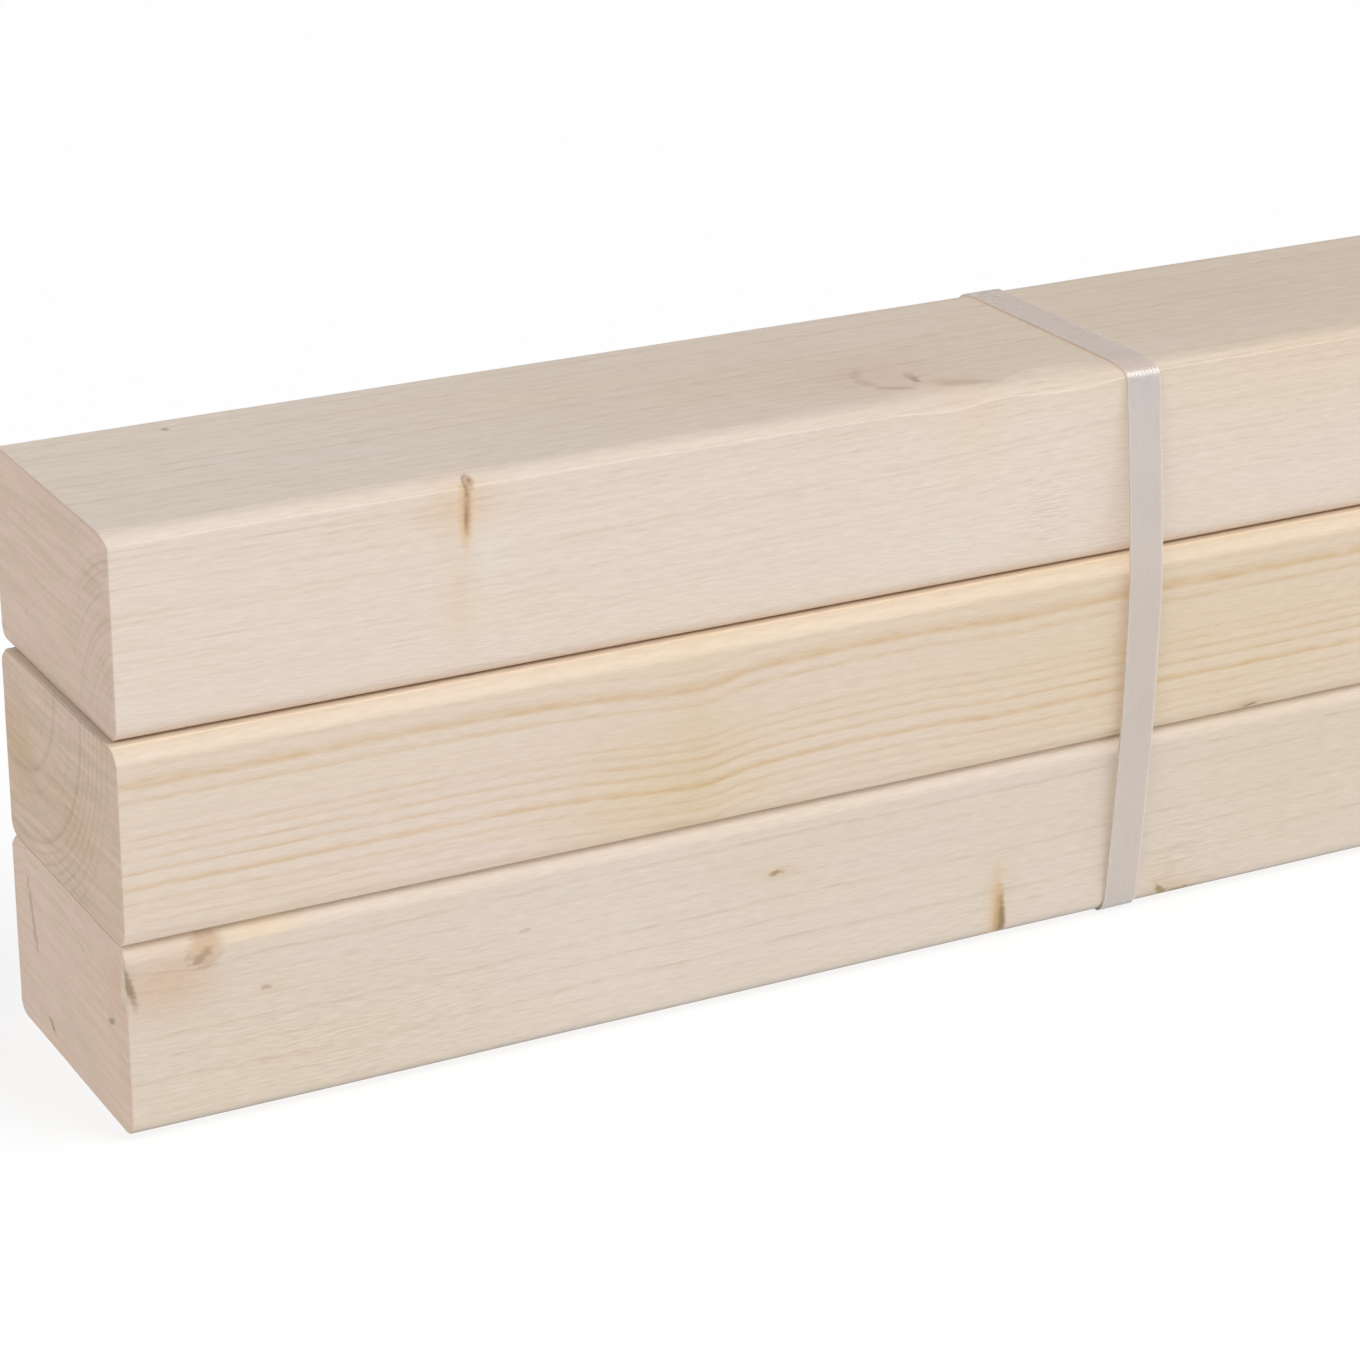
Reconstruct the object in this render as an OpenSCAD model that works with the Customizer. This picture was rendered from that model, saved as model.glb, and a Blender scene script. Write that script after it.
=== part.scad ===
// Bundle of planed softwood battens: a single stack, lying flat, tied by two welded plastic straps.
// X runs along the battens, Y across them and Z up. The origin is under the middle of the bundle,
// on the surface that it lies on. All sizes are in millimetres.

/* [Battens] */
// Length of each batten
batten_length = 1800; // [900:50:4800]
// Width of the section, which lies flat
batten_width = 70; // [50:1:120]
// Height of the section
batten_height = 45; // [35:1:80]
// Radius of the four planed arrises
arris_radius = 4; // [1.5:0.5:8]

/* [Stack] */
// Sideways shift of the middle batten on the bottom one, negative to the front
middle_side_shift = -1.2; // [-4:0.1:4]
// Sideways shift of the top batten on the bottom one, negative to the front
top_side_shift = 2.8; // [-4:0.1:4]
// Lengthwise shift of the middle batten on the bottom one
middle_end_shift = -0.2; // [-20:0.1:20]
// Lengthwise shift of the top batten on the bottom one
top_end_shift = 1.6; // [-20:0.1:20]

/* [Straps] */
// Width of the strap
strap_width = 9; // [5:0.5:19]
// Thickness of the strap
strap_thickness = 0.6; // [0.3:0.05:1.5]
// Distance from the bottom batten's ends to the middle of each strap
strap_inset = 252; // [60:1:400]
// Length over which the strap's two ends lap and are welded, at the back
weld_lap = 24; // [10:1:30]
// How much tighter than the arrises the strap bends, which keeps the bends off the wood
bend_ease = 0.5; // [0.2:0.1:1]

/* [Hidden] */
$fn = 96;

WOOD_BOTTOM = "#e6d9c6";
WOOD_MIDDLE = "#e8d6bd";
WOOD_TOP = "#e5d8ca";
STRAP = "#dcd6d6";

// Shifts of the battens, from the bottom one up, and the values that centre the bundle on the origin
side_shift = [0, middle_side_shift, top_side_shift];
end_shift = [0, middle_end_shift, top_end_shift];
side_centre = (min(side_shift) + max(side_shift)) / 2;
end_centre = (min(end_shift) + max(end_shift)) / 2;
layers = len(side_shift);

// Middle of a batten's width and length, and the height of its underside
function side_at(layer) = side_shift[layer] - side_centre;
function end_at(layer) = end_shift[layer] - end_centre;
function base_at(layer) = strap_thickness + layer * batten_height;

// Middle of each strap along the bundle
strap_near_x = end_at(0) - batten_length / 2 + strap_inset;
strap_far_x = end_at(0) + batten_length / 2 - strap_inset;

// Centres of the strap's bends at the arrises of one side, from the bottom up: side is -1 front, 1 back
bend_radius = arris_radius - bend_ease;
half_bend_span = batten_width / 2 - bend_radius;
bend_step = 7.5;
function arris_centres(side) = [
    for (layer = [0 : layers - 1])
        for (height = [bend_radius, batten_height - bend_radius])
            [side_at(layer) + side * half_bend_span, base_at(layer) + height]
];

// How far point p stands out, towards the given side, from the chord between points a and b
function stand_out(p, a, b, side) =
    side * (p.x - a.x - (b.x - a.x) * (p.y - a.y) / (b.y - a.y));

// A taut strap bends only round the centres that stand out from every chord between two others
least_stand_out = 0.001;
function taut(points, side) = [
    for (k = [0 : len(points) - 1])
        if (k == 0 || k == len(points) - 1
            || min([for (i = [0 : k - 1]) for (j = [k + 1 : len(points) - 1])
                stand_out(points[k], points[i], points[j], side)]) > least_stand_out)
            points[k]
];

function reversed(list) = [for (k = [len(list) - 1 : -1 : 0]) list[k]];

// The strap's bends in order: up the back, then down the front
back_bends = taut(arris_centres(1), 1);
front_bends = taut(arris_centres(-1), -1);
bends = concat(back_bends, reversed(front_bends));

// The longest straight run up the back carries the weld
back_runs = [for (k = [0 : len(back_bends) - 2]) norm(back_bends[k + 1] - back_bends[k])];
weld_run = search(max(back_runs), back_runs)[0];

module batten_section() {
    inner_width = batten_width - 2 * arris_radius;
    inner_height = batten_height - 2 * arris_radius;
    translate([-inner_width / 2, 0])
        square([inner_width, batten_height]);
    translate([-batten_width / 2, arris_radius])
        square([batten_width, inner_height]);
    for (side = [-1, 1])
        for (height = [arris_radius, batten_height - arris_radius])
            translate([side * inner_width / 2, height])
                circle(r = arris_radius);
}

module batten(layer) {
    translate([end_at(layer) - batten_length / 2, side_at(layer), base_at(layer)])
        rotate([90, 0, 90])
            linear_extrude(height = batten_length)
                batten_section();
}

// Next and last bend round the loop, and the way that the straight run after a bend points
function next(k) = (k + 1) % len(bends);
function last(k) = (k + len(bends) - 1) % len(bends);
function run_way(k) = (bends[next(k)] - bends[k]) / norm(bends[next(k)] - bends[k]);
function run_normal(k) = [run_way(k).y, -run_way(k).x];

// Angle of a run's outward normal, and the angle through which the strap turns at a bend
function normal_angle(k) = atan2(run_normal(k).y, run_normal(k).x);
function turn(k) = (normal_angle(k) - normal_angle(last(k)) + 360) % 360;

// Outline of the loop at the given reach from the bends' centres: an arc at each bend
function loop_outline(reach) = [
    for (k = [0 : len(bends) - 1])
        let (steps = ceil(turn(k) / bend_step))
            for (step = [0 : steps])
                let (angle = normal_angle(k) - turn(k) * (1 - step / steps))
                    bends[k] + reach * [cos(angle), sin(angle)]
];

// Second layer of strap on the run where its ends lap, melted into half of the first layer
module weld_layer() {
    middle = bends[weld_run] + run_way(weld_run) * back_runs[weld_run] / 2;
    outside = bend_radius + strap_thickness;
    polygon([
        for (corner = [[-1, -0.5], [1, -0.5], [1, 1], [-1, 1]])
            middle + run_way(weld_run) * corner.x * weld_lap / 2
                + run_normal(weld_run) * (outside + corner.y * strap_thickness)
    ]);
}

// One closed loop, drawn in Y and Z, with the second layer of its weld on the back
module strap(middle) {
    color(STRAP)
        translate([middle - strap_width / 2, 0, 0])
            rotate([90, 0, 90]) {
                linear_extrude(height = strap_width)
                    difference() {
                        polygon(loop_outline(bend_radius + strap_thickness));
                        polygon(loop_outline(bend_radius));
                    }
                linear_extrude(height = strap_width)
                    weld_layer();
            }
}

module batten_bottom() { color(WOOD_BOTTOM) batten(0); }
module batten_middle() { color(WOOD_MIDDLE) batten(1); }
module batten_top() { color(WOOD_TOP) batten(2); }
module strap_near() { strap(strap_near_x); }
module strap_far() { strap(strap_far_x); }

batten_bottom();
batten_middle();
batten_top();
strap_near();
strap_far();
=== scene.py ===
import math
from dataclasses import dataclass

import bpy
import numpy as np
from mathutils import Matrix, Vector


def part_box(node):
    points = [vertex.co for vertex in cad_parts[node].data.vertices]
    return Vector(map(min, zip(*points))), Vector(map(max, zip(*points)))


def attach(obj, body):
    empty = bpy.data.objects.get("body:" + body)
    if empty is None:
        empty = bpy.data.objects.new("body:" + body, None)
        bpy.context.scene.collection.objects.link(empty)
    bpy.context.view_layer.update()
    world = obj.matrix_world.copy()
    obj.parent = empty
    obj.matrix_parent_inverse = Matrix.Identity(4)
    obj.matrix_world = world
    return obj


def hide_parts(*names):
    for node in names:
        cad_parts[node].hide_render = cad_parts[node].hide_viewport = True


# A strapped bundle of three planed spruce battens. Lengths below are millimetres in a batten's own
# axes, from its near, front, lower corner: along its length, across its width and up. The frame and
# the finished meshes are in metres.

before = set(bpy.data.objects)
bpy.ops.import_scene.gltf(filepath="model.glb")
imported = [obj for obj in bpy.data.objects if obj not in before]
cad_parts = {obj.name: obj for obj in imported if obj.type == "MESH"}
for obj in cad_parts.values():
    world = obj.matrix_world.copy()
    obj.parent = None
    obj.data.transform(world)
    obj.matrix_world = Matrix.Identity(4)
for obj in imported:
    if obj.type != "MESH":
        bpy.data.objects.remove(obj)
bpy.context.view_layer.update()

METRES = 0.001
BODY = "root"


def corner_of(node):
    """The lowest corner of a node of the frame, in metres, as an array."""
    return np.array(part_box(node)[0])


def size_of(node):
    """The sides of a node's box, in millimetres."""
    low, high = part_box(node)
    return (np.array(high) - np.array(low)) / METRES


def tone(red, green, blue):
    """A colour as a paint chart gives it, from 0 to 255, turned into linear light for a shader."""
    share = np.array([red, green, blue]) / 255
    linear = np.where(share <= 0.04045, share / 12.92, ((share + 0.055) / 1.055) ** 2.4)
    return (*linear, 1.0)


# Shader maths

def lay_stops(mapping, stops):
    """Lays a Float Curve's stops, each a place from 0 to 1 and a height, joined by straight runs."""
    line = mapping.curves[0]
    for place, height in stops[1:-1]:
        line.points.new(place, height)
    line.points[0].location = stops[0]
    line.points[len(line.points) - 1].location = stops[-1]
    for point in line.points:
        point.handle_type = "VECTOR"
    mapping.update()


class Wire:
    """A socket of a shader. Operators on it add Math nodes, or Vector Math nodes for a vector."""

    def __init__(self, tree, socket=None):
        self.tree = tree
        self.socket = socket

    def node(self, kind, settings=None, sockets=None, out=0):
        """A new node of that type, with its settings and then its sockets' values or links."""
        made = self.tree.nodes.new("ShaderNode" + kind)
        for name, value in (settings or {}).items():
            if name == "stops":
                lay_stops(made.mapping, value)
            else:
                setattr(made, name, value)
        for name, value in (sockets or {}).items():
            if isinstance(value, Wire):
                self.tree.links.new(value.socket, made.inputs[name])
            else:
                made.inputs[name].default_value = value
        return Wire(self.tree, made.outputs[out])

    def is_vector(self):
        """Whether the socket carries a vector."""
        return self.socket.type == "VECTOR"

    def maths(self, operation, *values):
        """Math on numbers, or Vector Math where one of the values is a vector."""
        vector = any(v.is_vector() if isinstance(v, Wire) else isinstance(v, tuple) for v in values)
        if vector:
            values = [(v, v, v) if isinstance(v, (int, float)) else v for v in values]
        kind = "VectorMath" if vector else "Math"
        return self.node(kind, {"operation": operation}, dict(enumerate(values)))

    def __add__(self, other):
        return self.maths("ADD", self, other)

    def __sub__(self, other):
        return self.maths("SUBTRACT", self, other)

    def __rsub__(self, other):
        return self.maths("SUBTRACT", other, self)

    def __mul__(self, other):
        return self.maths("MULTIPLY", self, other)

    def __truediv__(self, other):
        return self.maths("DIVIDE", self, other)

    __radd__ = __add__
    __rmul__ = __mul__

    def split(self):
        """The three numbers of a vector."""
        parts = self.node("SeparateXYZ", None, {"Vector": self}).socket.node.outputs
        return [Wire(self.tree, part) for part in parts]

    def joined(self, second, third):
        """A vector of this number and two others."""
        return self.node("CombineXYZ", None, {"X": self, "Y": second, "Z": third})

    def rise(self, low, high, top=1.0):
        """0 before low, the top value past high and an S-shaped rise between them."""
        limits = {"Value": self, "From Min": low, "From Max": high, "To Max": top}
        return self.node("MapRange", {"interpolation_type": "SMOOTHSTEP"}, limits)

    def measure(self, operation, other=None):
        """A number from this vector, such as its length, or from it and another vector."""
        values = {0: self} if other is None else {0: self, 1: other}
        return self.node("VectorMath", {"operation": operation}, values, "Value")

    def attribute(self, name, out):
        """A value that was laid on the points of the mesh."""
        return self.node("Attribute", {"attribute_name": name}, None, out)

    def maths_of(self, operation):
        """Math on this number alone."""
        return self.maths(operation, self)

    def noise(self, detail=2.0, roughness=0.5):
        """Smooth noise at this place, from -0.5 to 0.5, with lumps about one unit across."""
        settings = {"Vector": self, "Scale": 1.0, "Detail": detail, "Roughness": roughness}
        return self.node("TexNoise", None, settings, "Fac") - 0.5


def mixed(tree, share, first, second, blend="MIX"):
    """Two colours mixed by a share, through the colour sockets of a Mix node."""
    settings = {"data_type": "RGBA", "blend_type": blend, "clamp_factor": True}
    return Wire(tree).node("Mix", settings, {0: share, 6: first, 7: second}, 2)


def mixed_number(share, first, second):
    """Two numbers mixed by a share."""
    return first + (second - first) * share


def new_material(name, constants):
    """An empty material, its tree and its shader, with the shader's constant sockets set."""
    material = bpy.data.materials.new(name)
    material.use_nodes = True
    tree = material.node_tree
    shader = tree.nodes["Principled BSDF"]
    for socket, value in constants.items():
        shader.inputs[socket].default_value = value
    return material, Wire(tree), shader


def feed(shader, colour, roughness, bump):
    """Links a shader's colour, its roughness and its bumped normal."""
    for name, wire in (("Base Color", colour), ("Roughness", roughness), ("Normal", bump)):
        wire.tree.links.new(wire.socket, shader.inputs[name])


# Surfaces

def mesh_piece(name, points, quads, triangles, material, sharp_degrees):
    """A closed mesh from arrays of points in metres, four-sided faces and three-sided faces."""
    mesh = bpy.data.meshes.new(name)
    corners = np.concatenate([quads.ravel(), triangles.ravel()]).astype(np.int32)
    sides = np.concatenate([np.full(len(quads), 4), np.full(len(triangles), 3)])
    starts = np.concatenate([[0], np.cumsum(sides)[:-1]])
    mesh.vertices.add(len(points))
    mesh.vertices.foreach_set("co", points.astype(np.float32).ravel())
    mesh.loops.add(len(corners))
    mesh.loops.foreach_set("vertex_index", corners)
    mesh.polygons.add(len(sides))
    mesh.polygons.foreach_set("loop_start", starts.astype(np.int32))
    mesh.update(calc_edges=True)
    mesh.validate()
    mesh.shade_smooth()
    mesh.set_sharp_from_angle(angle=math.radians(sharp_degrees))
    mesh.materials.append(material)
    piece = bpy.data.objects.new(name, mesh)
    bpy.context.scene.collection.objects.link(piece)
    return piece


def lay_attribute(piece, name, kind, field, values):
    """A value for each point of a piece's mesh, under a name that its material reads."""
    made = piece.data.attributes.new(name, kind, "POINT")
    made.data.foreach_set(field, values.astype(np.float32).ravel())


def grid_quads(rows, columns, rows_close):
    """Faces of a grid whose columns close on themselves: each cell's four corners, turned outwards."""
    row = np.arange(rows if rows_close else rows - 1)[:, None]
    column = np.arange(columns)[None, :]
    next_row = (row + 1) % rows
    next_column = (column + 1) % columns
    corners = [
        row * columns + column,
        row * columns + next_column,
        next_row * columns + next_column,
        next_row * columns + column,
    ]
    return np.stack(np.broadcast_arrays(*corners), -1).reshape(-1, 4)


def pole_triangles(pole, ring, outwards):
    """A fan of triangles from a pole point to the ring of points round it."""
    after = np.roll(ring, -1)
    centre = np.full(len(ring), pole)
    order = [centre, after, ring] if outwards else [centre, ring, after]
    return np.stack(order, -1)


WAVE_STRETCHES = (0.8, 1.25)
WAVE_SHORTENING = 1.7
WAVE_LOWERING = 1.6


def slow_waves(seed, place, longest, count):
    """A sum of sine waves along a line, each shorter and lower than the last, from about -1 to 1."""
    draws = np.random.default_rng(seed)
    total = np.zeros_like(place)
    for step in range(count):
        start = draws.uniform(0, 2 * np.pi)
        stretch = draws.uniform(*WAVE_STRETCHES) * WAVE_SHORTENING ** step
        wave = np.sin(2 * np.pi * place * stretch / longest + start)
        total = total + wave / WAVE_LOWERING ** step
    return total / 2


def bell(place, middle, width):
    """A bell curve on an array: 1 at the middle, and about a third at a width to either side."""
    return np.exp(-((place - middle) / width) ** 2)


def nearness(points, middle, reach):
    """A bell curve of each point's distance from a place, measured in how far it reaches each way."""
    return bell(np.linalg.norm((points - np.array(middle)) / np.array(reach), axis=-1), 0.0, 1.0)


# Values of the three battens. A section's arrises follow each other as back low, back high, front high
# and front low. Each has its reach across and up, and the power of its superellipse.

FRONT_HIGH = 2
FRONT_LOW = 3
ARRIS_REACHES = {
    "batten_bottom": ((4.0, 4.0), (3.6, 3.6), (2.8, 3.7), (4.2, 4.2)),
    "batten_middle": ((3.4, 3.4), (3.6, 3.4), (3.6, 3.2), (4.2, 4.2)),
    "batten_top": ((3.4, 3.4), (4.2, 3.0), (6.7, 1.8), (3.5, 3.7)),
}
ARRIS_POWERS = {
    "batten_bottom": (2.0, 1.35, 1.35, 2.0),
    "batten_middle": (2.0, 1.35, 1.35, 2.0),
    "batten_top": (2.0, 1.5, 1.5, 2.0),
}
ARC_STEPS = 12
RUN_STEPS_WIDE = 34
RUN_STEPS_HIGH = 22
FINE_LENGTH = 7.0
FINE_STEP = 0.5
DETAIL_LENGTH = 345.0
DETAIL_STEP = 1.3
PLAIN_STEPS = 260
CAP_RINGS = 9
RIM_CHAMFER = 0.35
RING_DROP = 0.4
RUN_EVENNESS = 0.35
POLE_DEPTH = 0.03
WOOD_SHARP_DEGREES = 35
# Painted highlight and painted shade on the arrises, as how much lighter an arris is made: an even
# share, a crest, and the crest's place and width along the arc. Crests beside the seams are painted
# light in their shade, and a negative crest is a painted shade line along the bottom batten's foot
PAINTED_ARRIS_SHADING = {
    "batten_bottom": {FRONT_HIGH: (0.07, 0.16, 0.4, 0.2), FRONT_LOW: (0.0, -0.6, 0.62, 0.22)},
    "batten_middle": {FRONT_HIGH: (0.0, 0.3, 0.0, 0.1)},
    "batten_top": {FRONT_HIGH: (0.045, 0.085, 0.57, 0.2), FRONT_LOW: (0.0, 0.5, 1.0, 0.35)},
}
PLAIN_ARRIS = (0.0, 0.0, 0.5, 1.0)
EVEN_TONE_POWER = 0.5
# Waves along a batten: their height, the longest one's length, and how many there are
ARRIS_WAVES = (0.12, 260.0, 5)
FLAT_ARRIS_WAVES = (0.3, 90.0, 4)
HOLLOW_WAVES = (0.035, 310.0, 6)
HOLLOW_TWIST = 40
SAW_WAVES = (0.06, 60.0, 7)
SAW_STRETCH = 40.0
SAW_SEED_STEP = 9
SWAY_LENGTH = 420.0
SWAY_COUNT = 5
# Where the top batten's front arris spreads: how far, where along it, and over what length
FLAT_ARRIS_SPREADS = ((6.2, 200.0, 9.0), (1.0, 176.0, 18.0), (4.2, 226.0, 7.0), (4.2, 236.0, 7.0))
# Where it narrows past the strap: how far, where along it, and over what length
FLAT_ARRIS_NARROWING = (0.7, 252.0, 4.0)
# The shares of its waves, its spreads and its narrowing that also go down the front face
FLAT_ARRIS_UPRIGHT = (0.1, 0.2, 0.5)
# Small dents: the place, how far they reach each way, and the push
DENTS = {
    "batten_bottom": [
        ((0.0, 0.0, 37.0), (1.6, 1.8, 4.0), (0.7, 0.7, 0.0)),
        ((0.0, 0.0, 32.6), (2.0, 2.0, 1.6), (0.9, 1.1, 0.0)),
    ],
    "batten_middle": [],
    "batten_top": [((80.0, 3.0, 44.0), (1.6, 2.6, 1.6), (0.0, 0.25, -0.45))],
}
KNOT_LIFT_REACH = 2.2


@dataclass
class Knot:
    """A branch or a streak in the wood: an ellipsoid between two tips, with a core, a rim and a halo."""
    start: tuple
    end: tuple
    radius: float
    core: tuple
    core_share: float = 0.8
    rim: tuple = (0, 0, 0)
    rim_share: float = 0.0
    rim_width: float = 0.3
    rim_side: tuple = ()
    halo: tuple = (0, 0, 0)
    halo_share: float = 0.0
    halo_reach: float = 2.5
    ragged: float = 0.35
    lift: float = 0.0

    def middle(self):
        """The place halfway between the tips."""
        return tuple((np.array(self.start) + np.array(self.end)) / 2)

    def half_axes(self):
        """Half its length, and its radius twice."""
        half_length = float(np.linalg.norm(np.array(self.end) - np.array(self.start)) / 2)
        return (half_length, self.radius, self.radius)

    def turn(self):
        """The turn that lays the first axis along the line between the tips."""
        return (Vector(self.end) - Vector(self.start)).to_track_quat("X", "Z")


@dataclass
class Patch:
    """A cloud of another tone: its middle, how far it reaches each way, its colour and its share."""
    middle: tuple
    reach: tuple
    colour: tuple
    share: float


@dataclass
class Wood:
    """What tells one batten's wood from another's.

    A ring is given by a point of the near section that it passes through, across and up, its share of
    the late tone and the width of its dark line there. An end ring is given by its radius. The grain
    sinks at a dip, given by its middle, its reach before and after, and its depth, and from the first
    to the last place of a climb by its height. A fleck of torn wood has a middle, a reach and a share.
    """
    early: tuple
    late: tuple
    end: tuple
    pith: tuple
    ring_width: float
    ring_share: float
    sway: float
    broken: float
    rings: list
    end_rings: list
    dips: list
    climbs: list
    knots: list
    patches: list
    flecks: list
    seed: float
    end_marks: float = 1.0
    arcs_fade: float = 0.0
    arcs_gain: float = 1.0


DARK_KNOT = (104, 78, 56)
BROWN_KNOT = (150, 116, 84)
RED_KNOT = (172, 132, 102)
OLIVE_KNOT = (156, 128, 84)
TAN_KNOT = (206, 174, 136)
WARM = (216, 190, 164)
WHOLE_KNOT = {"rim": DARK_KNOT, "halo": WARM, "halo_share": 0.6, "halo_reach": 2.0}

TOP_WOOD = Wood(
    early=(227, 212, 198), late=(206, 189, 168), end=(214, 192, 176),
    pith=(-18.0, -8.0), ring_width=2.1, ring_share=0.2, sway=0.5, broken=2.6,
    rings=[
        (0.0, 42.5, 0.2, 0.8), (0.0, 40.8, 0.36, 0.9), (0.0, 38.8, 0.36, 0.9), (0.0, 36.3, 0.2, 0.8),
        (0.0, 34.2, 0.22, 0.8), (0.0, 31.0, 0.12, 0.8), (0.0, 28.2, 0.36, 1.0), (0.0, 26.5, 0.26, 0.9),
        (0.0, 24.0, 0.15, 0.8), (0.0, 20.8, 0.28, 0.9), (0.0, 18.0, 0.25, 0.9), (0.0, 14.0, 0.15, 0.8),
        (0.0, 10.8, 0.15, 0.8), (7.7, 45.0, 0.3, 0.9), (14.0, 45.0, 0.4, 0.9), (18.0, 45.0, 0.4, 0.9),
        (21.4, 45.0, 0.3, 0.8), (24.0, 45.0, 0.45, 0.9), (34.4, 45.0, 0.6, 1.0), (39.0, 45.0, 0.5, 1.0),
        (54.0, 45.0, 0.5, 1.0), (62.0, 45.0, 0.3, 1.0),
    ],
    end_rings=[],
    dips=[],
    climbs=[(60.0, 280.0, -5.4)],
    knots=[
        Knot((80.0, 0.2, 28.4), (80.2, 0.5, 47.6), 2.0, (220, 184, 142), 0.75, ragged=0.35),
        Knot((80.2, 0.1, 31.6), (80.4, 0.3, 45.2), 1.05, RED_KNOT, 0.48, ragged=0.35),
        Knot((80.1, 0.1, 34.0), (80.3, 0.3, 40.6), 0.55, DARK_KNOT, 0.36, ragged=0.35),
        Knot((81.0, -0.5, 42.0), (82.4, 4.2, 45.1), 1.35, (186, 146, 112), 0.65, rim=(122, 86, 60),
             rim_share=0.5, rim_width=0.4, rim_side=(-0.9, 0.4, 0.0)),
        Knot((81.4, 0.2, 42.6), (82.2, 3.6, 45.0), 0.4, (122, 86, 60), 0.45),
        Knot((197.0, 2.7, -16.0), (195.8, 38.7, 106.0), 8.4, (224, 204, 190), 0.3, rim=(184, 150, 130),
             rim_share=0.32, rim_width=0.28, rim_side=(-0.97, -0.25, 0.0), ragged=0.15, lift=1.5),
        Knot((199.4, 13.4, 45.0), (200.4, 22.4, 45.0), 1.7, (188, 153, 130), 0.5, ragged=0.7),
        Knot((199.5, 14.2, 45.0), (199.9, 18.8, 45.0), 1.2, (150, 112, 88), 0.4, ragged=0.6),
        Knot((188.6, 14.8, 45.0), (198.4, 9.8, 45.0), 0.9, (186, 154, 132), 0.34, ragged=0.4),
        # This streak is painted shade: the edge of the arris's lit band where it dips beside the face
        # knot
        Knot((200.4, 12.0, 45.0), (217.4, 6.2, 44.6), 2.2, (192, 164, 138), 0.4, ragged=0.5),
        Knot((36.4, 59.0, 45.0), (36.4, 61.4, 45.0), 1.0, DARK_KNOT, 0.4),
        Knot((760.0, -18.0, -8.0), (744.0, 78.0, 102.0), 6.5, BROWN_KNOT, 0.5,
             rim_share=0.35, lift=2.5, **WHOLE_KNOT),
        Knot((1330.0, -18.0, -8.0), (1318.0, 166.0, 48.0), 6.0, BROWN_KNOT, 0.45,
             rim_share=0.3, lift=2.0, **WHOLE_KNOT),
    ],
    patches=[
        Patch((79.0, 0.0, 39.5), (9.0, 7.0, 6.5), (226, 200, 170), 0.7),
        Patch((78.5, 0.0, 19.0), (3.4, 4.0, 11.0), (225, 205, 180), 0.7),
        Patch((190.0, 24.0, 46.0), (26.0, 16.0, 10.0), (222, 200, 180), 0.6),
        Patch((196.0, 22.0, 46.0), (8.0, 8.0, 6.0), (224, 200, 186), 0.5),
        Patch((86.0, 0.0, 29.0), (5.0, 4.0, 6.0), (230, 219, 209), 0.6),
        # Painted shade of a small hollow beside the knot that faces away from the light
        Patch((205.5, 11.0, 45.0), (7.0, 2.6, 3.0), (212, 192, 166), 0.5),
        Patch((206.0, 1.0, 38.0), (8.0, 9.0, 12.0), (228, 206, 176), 0.36),
        Patch((230.0, 2.0, 43.0), (20.0, 9.0, 7.0), (229, 210, 182), 0.2),
        Patch((222.0, 0.0, 8.0), (9.0, 6.0, 9.0), (224, 206, 186), 0.25),
        Patch((216.0, 0.0, 22.0), (30.0, 6.0, 20.0), (229, 216, 204), 0.6),
        Patch((140.0, 40.0, 46.0), (60.0, 38.0, 6.0), (219, 203, 187), 0.45),
        Patch((300.0, 0.0, 38.0), (42.0, 9.0, 14.0), (226, 208, 180), 0.5),
        Patch((300.0, 44.0, 46.0), (120.0, 44.0, 8.0), (218, 200, 178), 0.7),
    ],
    flecks=[((226.0, 0.0, 14.0), (6.0, 5.0, 8.0), 1.2)],
    seed=3.0, end_marks=0.9, arcs_fade=30.0, arcs_gain=1.6,
)
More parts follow.
